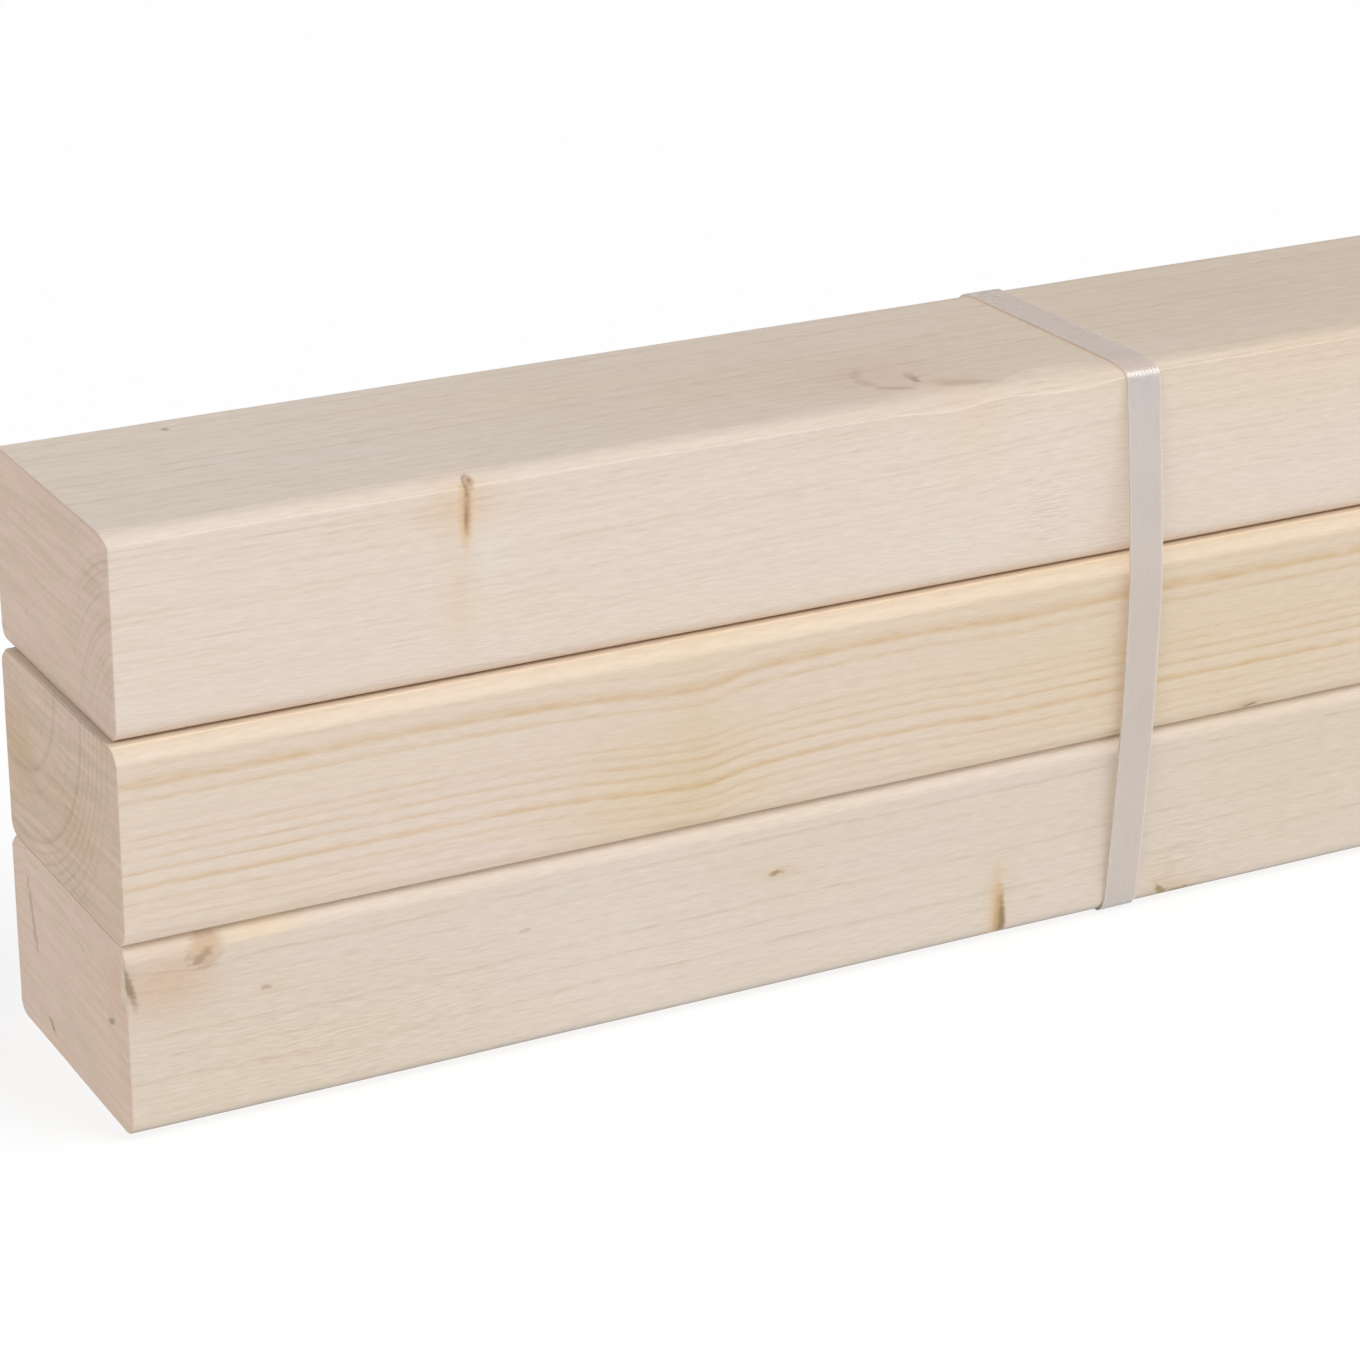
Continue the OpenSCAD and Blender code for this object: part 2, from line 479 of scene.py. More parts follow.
MIDDLE_WOOD = Wood(
    early=(224, 207, 190), late=(209, 177, 135), end=(208, 186, 168),
    pith=(63.2, 46.0), ring_width=1.75, ring_share=0.12, sway=0.4, broken=1.5,
    rings=[
        (0.0, 41.6, 0.2, 1.6), (0.0, 37.0, 0.85, 2.6), (0.0, 33.4, 0.45, 1.4), (0.0, 30.0, 0.1, 1.0),
        (0.0, 24.9, 0.38, 1.0), (0.0, 22.7, 0.38, 0.9), (0.0, 20.2, 0.56, 1.0), (0.0, 17.3, 0.62, 1.1),
        (0.0, 13.6, 0.75, 1.5), (0.0, 10.3, 0.45, 1.0), (0.0, 7.8, 0.34, 0.9), (0.0, 5.6, 0.34, 0.9),
        (0.0, 3.2, 0.25, 1.0),
    ],
    end_rings=[
        (22.0, 0.2, 1.0), (27.0, 0.55, 1.4), (32.0, 0.2, 1.0), (37.0, 0.2, 1.2), (43.0, 0.65, 1.5),
        (45.6, 0.4, 0.9), (48.0, 0.5, 0.9), (50.4, 0.4, 0.9), (52.8, 0.45, 0.9), (55.4, 0.35, 0.9),
        (58.4, 0.3, 0.9),
    ],
    dips=[(136.0, 26.0, 10.0, 2.6)],
    climbs=[(150.0, 175.0, -0.5), (190.0, 215.0, 1.0)],
    knots=[
        Knot((283.4, 0.5, 1.1), (287.4, 0.3, 1.6), 1.2, DARK_KNOT, 0.8, ragged=0.6),
        Knot((905.0, 63.0, 46.0), (895.0, -69.0, 2.0), 7.5, BROWN_KNOT, 0.45,
             rim_share=0.35, lift=3.0, **WHOLE_KNOT),
        Knot((1460.0, 63.0, 46.0), (1450.0, 83.0, -26.0), 6.0, BROWN_KNOT, 0.5,
             rim_share=0.35, lift=2.0, **WHOLE_KNOT),
    ],
    patches=[
        Patch((128.0, 0.0, 12.0), (26.0, 9.0, 18.0), (218, 196, 162), 0.6),
        Patch((136.0, 0.0, 24.0), (7.0, 9.0, 30.0), (218, 196, 164), 0.25),
        Patch((84.0, 0.0, 6.0), (30.0, 9.0, 7.0), (226, 208, 196), 0.6),
        Patch((270.0, 0.0, 22.0), (90.0, 9.0, 30.0), (220, 199, 166), 0.6),
        Patch((160.0, 0.0, 46.0), (240.0, 9.0, 5.0), (230, 206, 170), 0.5),
        Patch((285.0, 0.6, 1.2), (5.0, 3.0, 2.4), (206, 178, 142), 0.6),
        Patch((0.0, 62.0, 24.0), (3.0, 10.0, 10.0), (212, 190, 152), 0.7),
        Patch((0.0, 30.0, 18.0), (3.0, 12.0, 8.0), (216, 190, 158), 0.5),
    ],
    flecks=[],
    seed=17.0, end_marks=1.35,
)
BOTTOM_WOOD = Wood(
    early=(219, 205, 190), late=(196, 178, 156), end=(216, 194, 178),
    pith=(48.0, -18.0), ring_width=2.6, ring_share=0.1, sway=1.1, broken=3.0,
    rings=[
        (0.0, 38.7, 0.4, 0.9), (0.0, 34.2, 0.25, 0.8), (0.0, 28.6, 0.18, 0.8), (0.0, 23.3, 0.38, 0.9),
        (0.0, 18.2, 0.25, 0.8), (0.0, 13.0, 0.3, 0.9), (0.0, 9.0, 0.22, 0.8), (0.0, 5.0, 0.15, 0.8),
    ],
    end_rings=[],
    dips=[],
    climbs=[],
    knots=[
        Knot((15.1, 8.0, 36.6), (22.1, -8.0, 48.6), 4.0, TAN_KNOT, 0.7, rim=(168, 130, 94),
             rim_share=0.3, rim_width=0.35, rim_side=(-0.3, 0.0, -0.9), ragged=0.3, lift=2.0),
        Knot((14.4, 0.3, 38.0), (20.2, 0.0, 41.2), 1.5, BROWN_KNOT, 0.5, ragged=0.6),
        Knot((30.2, 0.0, 29.2), (33.2, 0.0, 29.3), 0.6, OLIVE_KNOT, 0.5, ragged=0.8),
        Knot((91.4, 0.0, 29.1), (94.8, 0.0, 29.1), 0.55, OLIVE_KNOT, 0.3, ragged=0.8),
        Knot((154.8, 0.0, 29.7), (158.4, 0.0, 29.6), 0.8, OLIVE_KNOT, 0.75, ragged=0.8),
        Knot((216.1, 0.1, 19.8), (216.5, 0.5, -16.0), 2.6, (216, 184, 144), 0.75, ragged=0.25),
        Knot((216.8, 0.1, 14.6), (217.2, 0.6, -13.0), 1.9, (176, 142, 96), 0.65, ragged=0.2),
        Knot((217.5, 0.1, 11.6), (218.1, 0.8, -8.0), 1.2, (112, 88, 56), 0.6, ragged=0.2),
        Knot((261.2, 0.2, 4.2), (265.2, 1.0, 0.2), 1.2, OLIVE_KNOT, 0.85, ragged=0.8),
        Knot((263.2, 0.9, 0.8), (272.4, 0.9, 1.2), 1.1, (128, 102, 68), 0.7, ragged=0.9),
        Knot((-1.2, 1.0, 43.0), (2.4, 0.1, 30.0), 1.3, (132, 100, 72), 0.65, ragged=0.35),
        Knot((0.0, 7.4, 25.0), (0.0, 12.2, 23.3), 0.9, DARK_KNOT, 0.5, ragged=0.8),
        Knot((0.0, 47.0, 4.2), (0.0, 51.0, 7.4), 0.8, DARK_KNOT, 0.5, ragged=0.8),
        Knot((0.0, 61.0, 40.0), (0.0, 55.4, 17.5), 1.3, (160, 138, 112), 0.5, ragged=1.0),
        Knot((640.0, 48.0, -18.0), (632.0, -54.0, 70.0), 6.0, BROWN_KNOT, 0.45,
             rim_share=0.3, lift=2.0, **WHOLE_KNOT),
    ],
    patches=[
        Patch((9.0, 0.0, 35.5), (12.0, 14.0, 8.0), (210, 180, 154), 0.75),
        Patch((31.0, 0.0, 43.5), (9.0, 6.0, 2.6), (230, 206, 164), 0.5),
        Patch((157.0, 0.0, 29.6), (6.0, 3.0, 1.6), (214, 190, 154), 0.65),
        Patch((33.0, 0.0, 29.2), (3.5, 3.0, 1.6), (214, 190, 156), 0.4),
        Patch((216.0, 0.0, 12.0), (4.0, 4.0, 10.0), (214, 190, 160), 0.5),
        Patch((263.0, 0.0, 6.0), (4.0, 6.0, 7.0), (208, 188, 156), 0.4),
        Patch((268.0, 0.0, 2.0), (10.0, 6.0, 3.0), (206, 182, 150), 0.5),
        Patch((36.0, 0.0, 12.0), (46.0, 6.0, 16.0), (220, 201, 178), 0.6),
        Patch((112.0, 0.0, 22.0), (26.0, 6.0, 26.0), (224, 209, 197), 0.5),
        Patch((300.0, 0.0, 22.0), (40.0, 6.0, 30.0), (218, 200, 176), 0.5),
    ],
    flecks=[((45.0, 0.0, 14.0), (38.0, 6.0, 14.0), 0.8), ((268.0, 0.0, 10.0), (10.0, 6.0, 9.0), 0.8)],
    seed=41.0, end_marks=0.75,
)
WOODS = {"batten_bottom": BOTTOM_WOOD, "batten_middle": MIDDLE_WOOD, "batten_top": TOP_WOOD}


# Battens

def station_places(length):
    """Places of the sections along a batten: close together near its near end, then further apart."""
    fine = np.arange(RIM_CHAMFER, FINE_LENGTH, FINE_STEP)
    near = np.arange(FINE_LENGTH, DETAIL_LENGTH, DETAIL_STEP)
    plain = np.linspace(DETAIL_LENGTH, length - RIM_CHAMFER, PLAIN_STEPS)
    return np.concatenate([fine, near, plain])


def section_points(width, height, arrises, powers):
    """Rounded sections of a batten, one for each station, and the way out of the wood at each point.

    A section is four quarters of a superellipse, one at each arris, joined by straight runs. Each
    arris has its two half axes, across and up, as arrays over the stations. A power under 2 makes it
    more like a bevel, with a faint edge where the plane's rounding knife starts.
    """
    quarter = np.linspace(0, np.pi / 2, ARC_STEPS)
    signs = [(1, -1, -np.pi / 2), (1, 1, 0.0), (-1, 1, np.pi / 2), (-1, -1, np.pi)]
    arcs = []
    ways = []
    for (side, rise, start), (reach_across, reach_up), power in zip(signs, arrises, powers):
        way = np.stack([np.cos(start + quarter), np.sin(start + quarter)], -1)
        eased = np.sign(way) * np.abs(way) ** (2 / power)
        reach = np.stack([reach_across, reach_up], -1)
        outer = np.array([side * width / 2, rise * height / 2])
        centre = outer - np.array([side, rise]) * reach
        arcs.append(centre[:, None, :] + reach[:, None, :] * eased[None])
        ways.append(way)
    columns = []
    outwards = []
    for k in range(4):
        steps = RUN_STEPS_HIGH if k % 2 == 0 else RUN_STEPS_WIDE
        even = np.linspace(0, 1, steps + 2)[1:-1]
        eased = 0.5 - 0.5 * np.cos(np.pi * even)
        share = RUN_EVENNESS * even + (1 - RUN_EVENNESS) * eased
        last = arcs[k][:, -1:, :]
        first = arcs[(k + 1) % 4][:, :1, :]
        columns += [arcs[k], last + (first - last) * share[None, :, None]]
        outwards += [ways[k], np.repeat(ways[k][-1:], steps, 0)]
    middle = np.array([width / 2, height / 2])
    return np.concatenate(columns, 1) + middle, np.concatenate(outwards, 0)


def painted_arris_shading(node):
    """How much lighter or darker each column of a section is painted than the faces are: painted
    highlight and painted shade on the arrises.

    Along an arris it is an even share that dies away at both ends, and a crest, as a bell curve.
    """
    place = np.linspace(0, 1, ARC_STEPS)
    parts = []
    for arris, steps in enumerate((RUN_STEPS_HIGH, RUN_STEPS_WIDE, RUN_STEPS_HIGH, RUN_STEPS_WIDE)):
        even, crest, middle, width = PAINTED_ARRIS_SHADING[node].get(arris, PLAIN_ARRIS)
        arc = even * np.sin(np.pi * place) ** EVEN_TONE_POWER + crest * bell(place, middle, width)
        parts += [arc, np.zeros(steps)]
    return np.concatenate(parts)


def arris_reaches(node, along):
    """Half axes of the four arrises along a batten: back low, back high, front high, front low.

    Each wanders a little about the planed radius. The top batten's front arris was planed flatter,
    and beside the knot in its top face it spreads twice and narrows in between.
    """
    seed = sum(map(ord, node))
    height, longest, count = ARRIS_WAVES
    reaches = []
    for across, up in ARRIS_REACHES[node]:
        waver = height * slow_waves(seed + len(reaches), along, longest, count)
        reaches.append([across + waver, up + waver])
    if node == "batten_top":
        spread = sum(most * bell(along, middle, width) for most, middle, width in FLAT_ARRIS_SPREADS)
        most, middle, width = FLAT_ARRIS_NARROWING
        past = most - most / (1 + np.exp((along - middle) / width))
        height, longest, count = FLAT_ARRIS_WAVES
        waver = height * slow_waves(seed, along, longest, count)
        across, up = ARRIS_REACHES[node][FRONT_HIGH]
        of_waver, of_spread, of_past = FLAT_ARRIS_UPRIGHT
        reaches[FRONT_HIGH] = [
            across + waver + spread - past,
            up + of_waver * waver + of_spread * spread - of_past * past,
        ]
    return reaches


def dent(points, middle, reach, push):
    """Moves the points near a place by a push that dies away as a bell curve of their distance."""
    return points + nearness(points, middle, reach)[..., None] * np.array(push)


def batten_points(node):
    """The skin of a batten as rows of section points, with the two end faces as shrinking sections.

    Row after row: the near end face from its middle out to its rim, the length of the batten, and
    the far end face from its rim in to its middle.
    """
    length, width, thickness = size_of(node)
    along = station_places(length)
    reaches = arris_reaches(node, along)
    sections, outwards = section_points(width, thickness, reaches, ARRIS_POWERS[node])
    columns = sections.shape[1]
    seed = sum(map(ord, node))
    place = np.repeat(along[:, None], columns, 1)
    turn = np.linspace(0, 2 * np.pi, columns, endpoint=False)[None, :]
    height, longest, waves = HOLLOW_WAVES
    hollow = height * (1 + slow_waves(seed, place + HOLLOW_TWIST * np.sin(turn), longest, waves))
    sections = sections - hollow[..., None] * outwards[None]
    body = np.concatenate([place[..., None], sections], -1)
    middle = np.array([width / 2, thickness / 2])
    shrink = np.linspace(0, 1, CAP_RINGS + 1)[1:, None, None]
    height, longest, waves = SAW_WAVES
    fuzz = height * np.abs(slow_waves(seed + SAW_SEED_STEP, turn * SAW_STRETCH, longest, waves))
    caps = []
    for end, row in ((0.0, 0), (length, -1)):
        rim = sections[row] - RIM_CHAMFER * outwards
        rings = middle + (rim - middle) * shrink
        depth = np.broadcast_to(end + (fuzz if end == 0 else -fuzz), rings.shape[:2])
        caps.append(np.concatenate([depth[..., None], rings], -1))
    return np.concatenate([caps[0], body, caps[1][::-1]], 0), length, middle


def knot_radii(points, knot):
    """How many of a knot's own radii each point lies from its middle."""
    own_axes = np.array(knot.turn().to_matrix())
    own_place = (points - np.array(knot.middle())) @ own_axes
    return np.linalg.norm(own_place / np.array(knot.half_axes()), axis=1)


def grain_shift(points, wood):
    """How far the grain sinks at each point: slow waves, dips, climbs and the way round knots."""
    along = points[:, 0]
    shift = wood.sway * slow_waves(int(wood.seed), along, SWAY_LENGTH, SWAY_COUNT)
    for middle, before, after, depth in wood.dips:
        shift = shift + depth * bell(along, middle, np.where(along > middle, after, before))
    for first, last, height in wood.climbs:
        step = np.clip((along - first) / (last - first), 0, 1)
        shift = shift + height * step * step * (3 - 2 * step)
    for knot in wood.knots:
        shift = shift + knot.lift * bell(knot_radii(points, knot), 0.0, KNOT_LIFT_REACH)
    return shift


def wood_tint(points, wood):
    """What the patches and the knots' halos multiply the early wood's colour by."""
    early = np.array(tone(*wood.early)[:3])
    tint = np.ones((len(points), 3))
    layers = []
    for patch in wood.patches:
        layers.append((patch.colour, patch.share * nearness(points, patch.middle, patch.reach)))
    for knot in wood.knots:
        if knot.halo_share:
            halo = bell(knot_radii(points, knot), 0.0, knot.halo_reach)
            layers.append((knot.halo, knot.halo_share * halo))
    for colour, share in layers:
        tint = tint * (1 + share[:, None] * (np.array(tone(*colour)[:3]) / early - 1))
    return tint


def raised_fibres(points, wood):
    """How torn the surface is at each point, where the plane met curling grain."""
    torn = np.zeros(len(points))
    for middle, reach, share in wood.flecks:
        torn = torn + share * nearness(points, middle, reach)
    return torn


def make_batten(node, wood):
    """One batten: the grid of its skin closed by a fan of triangles at the middle of each end."""
    rows, length, middle = batten_points(node)
    for place_reach_push in DENTS[node]:
        rows = dent(rows, *place_reach_push)
    count, columns = rows.shape[:2]
    poles = np.array([[POLE_DEPTH, *middle], [length - POLE_DEPTH, *middle]])
    points = np.concatenate([rows.reshape(-1, 3), poles])
    first_ring = np.arange(columns)
    last_ring = first_ring + (count - 1) * columns
    fans = np.concatenate([
        pole_triangles(count * columns, first_ring, True),
        pole_triangles(count * columns + 1, last_ring, False),
    ])
    placed = corner_of(node) + points * METRES
    material = planed_spruce(node, wood)
    quads = grid_quads(count, columns, False)
    piece = mesh_piece(node + "_wood", placed, quads, fans, material, WOOD_SHARP_DEGREES)
    lay_attribute(piece, "grain_shift", "FLOAT", "value", grain_shift(points, wood))
    on_length = np.zeros((count, 1))
    on_length[CAP_RINGS:count - CAP_RINGS] = 1.0
    # Painted highlight and painted shade along the arrises, laid into the wood's tint
    arris_painted_shading = np.concatenate([(on_length * painted_arris_shading(node)).ravel(), np.zeros(2)])
    tint = wood_tint(points, wood) * (1 + arris_painted_shading[:, None])
    lay_attribute(piece, "wood_tint", "FLOAT_VECTOR", "vector", tint)
    lay_attribute(piece, "raised_fibres", "FLOAT", "value", raised_fibres(points, wood))
    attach(piece, BODY)
    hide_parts(node)


def in_knot(place, knot):
    """A place in a knot's own axes, in units of its half axes, so that its skin is one unit out."""
    sockets = {
        "Vector": place, "Location": knot.middle(), "Rotation": tuple(knot.turn().to_euler()),
        "Scale": knot.half_axes(),
    }
    return place.node("Mapping", {"vector_type": "TEXTURE"}, sockets)


def ring_stops(wood):
    """Where the late wood of the given rings lies, as the lowest and highest radius and stops between.

    Along the radius the darkness climbs in a straight line to a ring's end, and drops quickly after it.
    """
    across, up, share, width = np.array(wood.rings).T
    off_across = across - wood.pith[0]
    off_up = up - wood.pith[1]
    radii = np.hypot(off_across, off_up)
    leaning = np.abs(np.where(across > 0, off_across, off_up)) / radii
    return line_stops(radii, share, width * leaning)


def line_stops(radii, share, width):
    """Stops of lines with a share and a width each, as the lowest and highest radius and a list."""
    starts = radii - width
    ends = radii + RING_DROP * width
    places = np.unique(np.concatenate([starts, radii, ends]))
    climb = np.clip((places[:, None] - starts) / (radii - starts), 0, 1)
    drop = np.clip((places[:, None] - radii) / (ends - radii), 0, 1)
    heights = ((climb - drop) * share).sum(1)
    low, high = places[0], places[-1]
    shares = (places - low) / (high - low)
    stops = [(float(place), float(height)) for place, height in zip(shares, heights)]
    return float(low), float(high), stops


def lines_at(radius, low, high, stops):
    """The darkness of the ring lines at a radius, looked up on their stops."""
    step = (radius - low) / (high - low)
    return radius.node("FloatCurve", {"stops": stops}, {"Value": step})


# Values of the wood's material. The first are lumps of noise to a millimetre, along, across and up.

WOBBLE = (0.05, 0.09, 0.09)
BREAKS = (0.13, 0.5, 0.5)
FIBRE = (0.03, 1.1, 1.1)
DASH = (0.2, 1.0, 1.7)
CLOUD = (0.014, 0.05, 0.05)
SAW = (0.0, 0.035, 0.5)
PORES = (0.0, 0.4, 0.9)
BLOTCH = (0.0, 0.09, 0.14)
RAGGED = (0.5, 0.9, 0.9)
SEED_STEPS = (71.0, 13.0, 29.0)
WOBBLE_DEPTH = 0.5
RING_UNEVENNESS = (0.11, 1.0, 1.0)
RING_UNEVEN_BY = 2.2
LATE_CLIMB = (0.45, 0.88)
LATE_DROP = (0.91, 1.0)
LINES_KEPT = 0.8
END_DEPTHS = (0.1, 0.4)
END_DARK = (0.84, 0.81, 0.78)
END_PINK = (1.01, 0.985, 0.985)
END_YELLOW = (0.985, 0.985, 0.95)
BLOTCH_SHARE = 2.4
BLOTCH_MEAN = 0.5
ARC_BLOTCH_SHARE = 1.6
ARC_MEAN = 0.8
SAW_SHARE = 0.3
PORE_SHARE = 0.08
MARKS_BLUE = 0.3
FIBRE_SHARE = 0.09
DASH_SHARE = 0.19
TORN_DASH_SHARE = 0.2
DASH_BLUE = 0.07
CLOUD_BLUE = 0.09
CORE_RADII = (1.15, 0.45)
RIM_SIDE_RISE = (-0.1, 0.7)
DASH_RELIEF = 1.0
TORN_RELIEF = 2.0
SAW_RELIEF = 2.0
WOOD_BUMP = {"Strength": 0.5, "Distance": 0.00022}
WOOD_ROUGHNESS = 0.48
FIBRE_ROUGHNESS = 0.12
END_ROUGHNESS = 0.2


def year_rings(across, up, seeded, wood):
    """The distance from the pith, and how dark the year rings are there."""
    shift = up.attribute("grain_shift", "Fac")
    wobble = (seeded * WOBBLE).noise(1.0) * WOBBLE_DEPTH
    from_pith_up = up + shift + wobble - wood.pith[1]
    from_pith_across = across - wood.pith[0]
    squared = from_pith_up * from_pith_up + from_pith_across * from_pith_across
    radius = squared.maths_of("SQRT")
    uneven = (radius.joined(wood.seed, 0.0) * RING_UNEVENNESS).noise(0.0) * RING_UNEVEN_BY
    phase = radius / wood.ring_width + uneven
    year = phase.maths_of("FLOOR")
    season = phase - year
    late = season.rise(*LATE_CLIMB) - season.rise(*LATE_DROP)
    vigour = year.node("TexWhiteNoise", {"noise_dimensions": "1D"}, {"W": year + wood.seed}, "Value")
    return radius, lines_at(radius, *ring_stops(wood)) + late * vigour * wood.ring_share


def sawn_end(across, seeded, radius, rings, wood):
    """The colour of the end faces, blotched and with the rings as arcs."""
    blotch = (seeded * BLOTCH).noise(1.0)
    arcs = rings
    if wood.end_rings:
        end_radii, end_shares, end_widths = np.array(wood.end_rings).T
        arcs = lines_at(radius, *line_stops(end_radii, end_shares, end_widths))
    if wood.arcs_fade:
        arcs = arcs * across.rise(wood.arcs_fade, wood.arcs_fade / 4, wood.arcs_gain)
    shares = (END_DARK, END_PINK, END_YELLOW)
    dark, pink, yellow = (tone(*np.multiply(wood.end, share)) for share in shares)
    plain = mixed(across.tree, blotch * BLOTCH_SHARE + BLOTCH_MEAN, pink, yellow)
    return mixed(across.tree, arcs * (blotch * ARC_BLOTCH_SHARE + ARC_MEAN), plain, dark)


def with_knots(colour, place, seeded, wood):
    """The wood's colour with the knots' cores and rims laid over it."""
    ragged = (seeded * RAGGED).noise(1.0)
    for knot in wood.knots:
        inside = in_knot(place, knot)
        radii = ragged.maths("MULTIPLY_ADD", ragged, 2 * knot.ragged, inside.measure("LENGTH"))
        core = radii.rise(*CORE_RADII, knot.core_share)
        colour = mixed(place.tree, core, colour, tone(*knot.core))
        if knot.rim_share:
            rim = (radii - 1).maths_of("ABSOLUTE").rise(knot.rim_width, 0.0, knot.rim_share)
            if knot.rim_side:
                side = tuple(knot.turn().inverted() @ Vector(knot.rim_side))
                rim = rim * inside.measure("DOT_PRODUCT", side).rise(*RIM_SIDE_RISE)
            colour = mixed(place.tree, rim, colour, tone(*knot.rim))
    return colour


def planed_spruce(node, wood):
    """Planed spruce in the round: year rings about a pith, fibres, knots, and sawn end grain."""
    constants = {"IOR": 1.5, "Specular IOR Level": 0.5}
    material, paint, shader = new_material(node + "_spruce", constants)
    tree = paint.tree
    length = float(size_of(node)[0])
    origin = paint.node("TexCoord", None, None, "Object") - tuple(corner_of(node))
    place = origin * (1 / METRES)
    along, across, up = place.split()
    seeded = place + tuple(wood.seed * step for step in SEED_STEPS)
    tint = paint.attribute("wood_tint", "Vector")
    torn = paint.attribute("raised_fibres", "Fac")
    radius, rings = year_rings(across, up, seeded, wood)
    breaks = (seeded * BREAKS).noise(1.0, 0.6) * wood.broken + LINES_KEPT
    line = rings * breaks.maths("MAXIMUM", breaks, 0.0)

    # Fibres, slow changes of tone and saw marks
    fibre = (seeded * FIBRE).noise(2.0, 0.6)
    dash = (seeded * DASH).noise(1.0, 0.6)
    cloud = (seeded * CLOUD).noise(1.0)
    saw = (seeded * SAW).noise(1.0, 0.7)
    pores = (seeded * PORES).noise(0.0)
    from_end = along.maths("MINIMUM", along, length - along)
    end = 1 - from_end.rise(*END_DEPTHS)

    long_grain = mixed(tree, line, tone(*wood.early), tone(*wood.late))
    colour = mixed(tree, end, long_grain, sawn_end(across, seeded, radius, rings, wood))
    marks = (saw * SAW_SHARE + pores * PORE_SHARE) * wood.end_marks
    fibres = fibre * FIBRE_SHARE + dash * (torn * TORN_DASH_SHARE + DASH_SHARE)
    lightness = 1.0 + mixed_number(end, fibres, marks)
    bluer = lightness + dash * DASH_BLUE - cloud * CLOUD_BLUE + marks * end * MARKS_BLUE
    colour = mixed(tree, 1.0, colour, lightness.joined(lightness, bluer), "MULTIPLY")
    colour = with_knots(mixed(tree, 1.0, colour, tint, "MULTIPLY"), place, seeded, wood)

    relief = mixed_number(end, dash * (torn * TORN_RELIEF + DASH_RELIEF), saw * SAW_RELIEF)
    bump = paint.node("Bump", None, {**WOOD_BUMP, "Height": relief}, "Normal")
    roughness = WOOD_ROUGHNESS + fibre * FIBRE_ROUGHNESS + end * END_ROUGHNESS
    feed(shader, colour, roughness, bump)
    return material


# Straps

STRAP_WIDTH = 9.0
STRAP_THICKNESS = 0.6
STRAP_CLEARANCE = 0.12
RIBS = 9
RIB_HEIGHT = 0.028
RIB_STEPS = 6
LOOP_STEP = 1.0
LOOP_DIRECTIONS = 1441
WELD_LAP = 24.0
LAP_MIDDLE = 68.0
LAP_EDGE = 0.6
FRONT_BOW = 2.1
BOW_POWER = 0.8
STRAP_SWAY = 0.12
STRAP_SWAY_COUNT = 3
SLANT_FROM = -33.0
SLANT_OVER = 70.0
STRAP_SHARP_DEGREES = 50
STRAP_TONE = (203, 197, 193)
STRAP_ON_TOP = (214, 201, 193)
STRAP_LOW_FRONT = (201, 191, 183)
# Painted shade on the strap under the stack
STRAP_UNDER_SHADE = (112, 108, 106)
STRAP_WIDTH_SHARE = 0.985
INNER_STEPS = 13
BEND_RIBS = 2.5
# A painted highlight at the bends, with the plastic's own whitening from bending
BEND_WHITE_AND_HIGHLIGHT = 0.16
SLIGHT_BEND = 0.35
WHITE_POWERS = (0.4, 6.0)
# Painted shade along the strap's edges
EDGE_PAINTED_SHADE = 0.12
LOW_FRONT_SHARE = 0.4
# The way out of a bend from which a tone starts, and over how much more of it the tone comes in
# Where the painted shade under the stack starts and comes in
UNDER_SHADE_FROM = 0.4
UNDER_SHADE_OVER = 0.4
UPRIGHT_FROM = 0.4
UPRIGHT_OVER = 0.3
UPWARDS_OVER = 0.1
# Lumps of noise to a millimetre in the plastic, along the bundle, across it and up
STREAK = (1.4, 0.03, 0.03)
PLASTIC_CLOUD = (0.05, 0.05, 0.05)
STREAK_SHARE = 0.5
PLASTIC_CLOUD_SHARE = 0.9
PLASTIC_MEAN = 0.5
TONE_STEP = 4
PLASTIC_ROUGHNESS = 0.24
STREAK_ROUGHNESS = 0.15
PLASTIC_BUMP = {"Strength": 0.2, "Distance": 0.0001}


def taut_loop(middle):
    """The strap's path round the stack at a place along it, across and up, at even steps.

    For each direction out of the stack, the point of the battens' sections that stands furthest out
    carries the strap. The points found that way are spaced evenly along their own line, and each is
    then averaged with its neighbours, because the strap is too stiff for a sharp bend.
    """
    sections = []
    for node in WOODS:
        corner = corner_of(node) / METRES
        width, height = size_of(node)[1:]
        reaches = arris_reaches(node, np.array([middle - corner[0]]))
        section = section_points(width, height, reaches, ARRIS_POWERS[node])[0][0]
        sections.append(section + corner[1:])
    sections = np.concatenate(sections)
    turn = np.linspace(-np.pi / 2, 1.5 * np.pi, LOOP_DIRECTIONS)
    way = np.stack([np.cos(turn), np.sin(turn)], -1)
    points = sections[(way @ sections.T).argmax(1)]
    travelled = np.concatenate([[0], np.cumsum(np.linalg.norm(np.diff(points, axis=0), axis=1))])
    steps = int(travelled[-1] / LOOP_STEP)
    even = np.arange(steps) * travelled[-1] / steps
    path = np.stack([np.interp(even, travelled, points[:, k]) for k in (0, 1)], -1)
    near = (np.roll(path, 1, 0) + np.roll(path, -1, 0)) / 2
    return (path + near) / 2


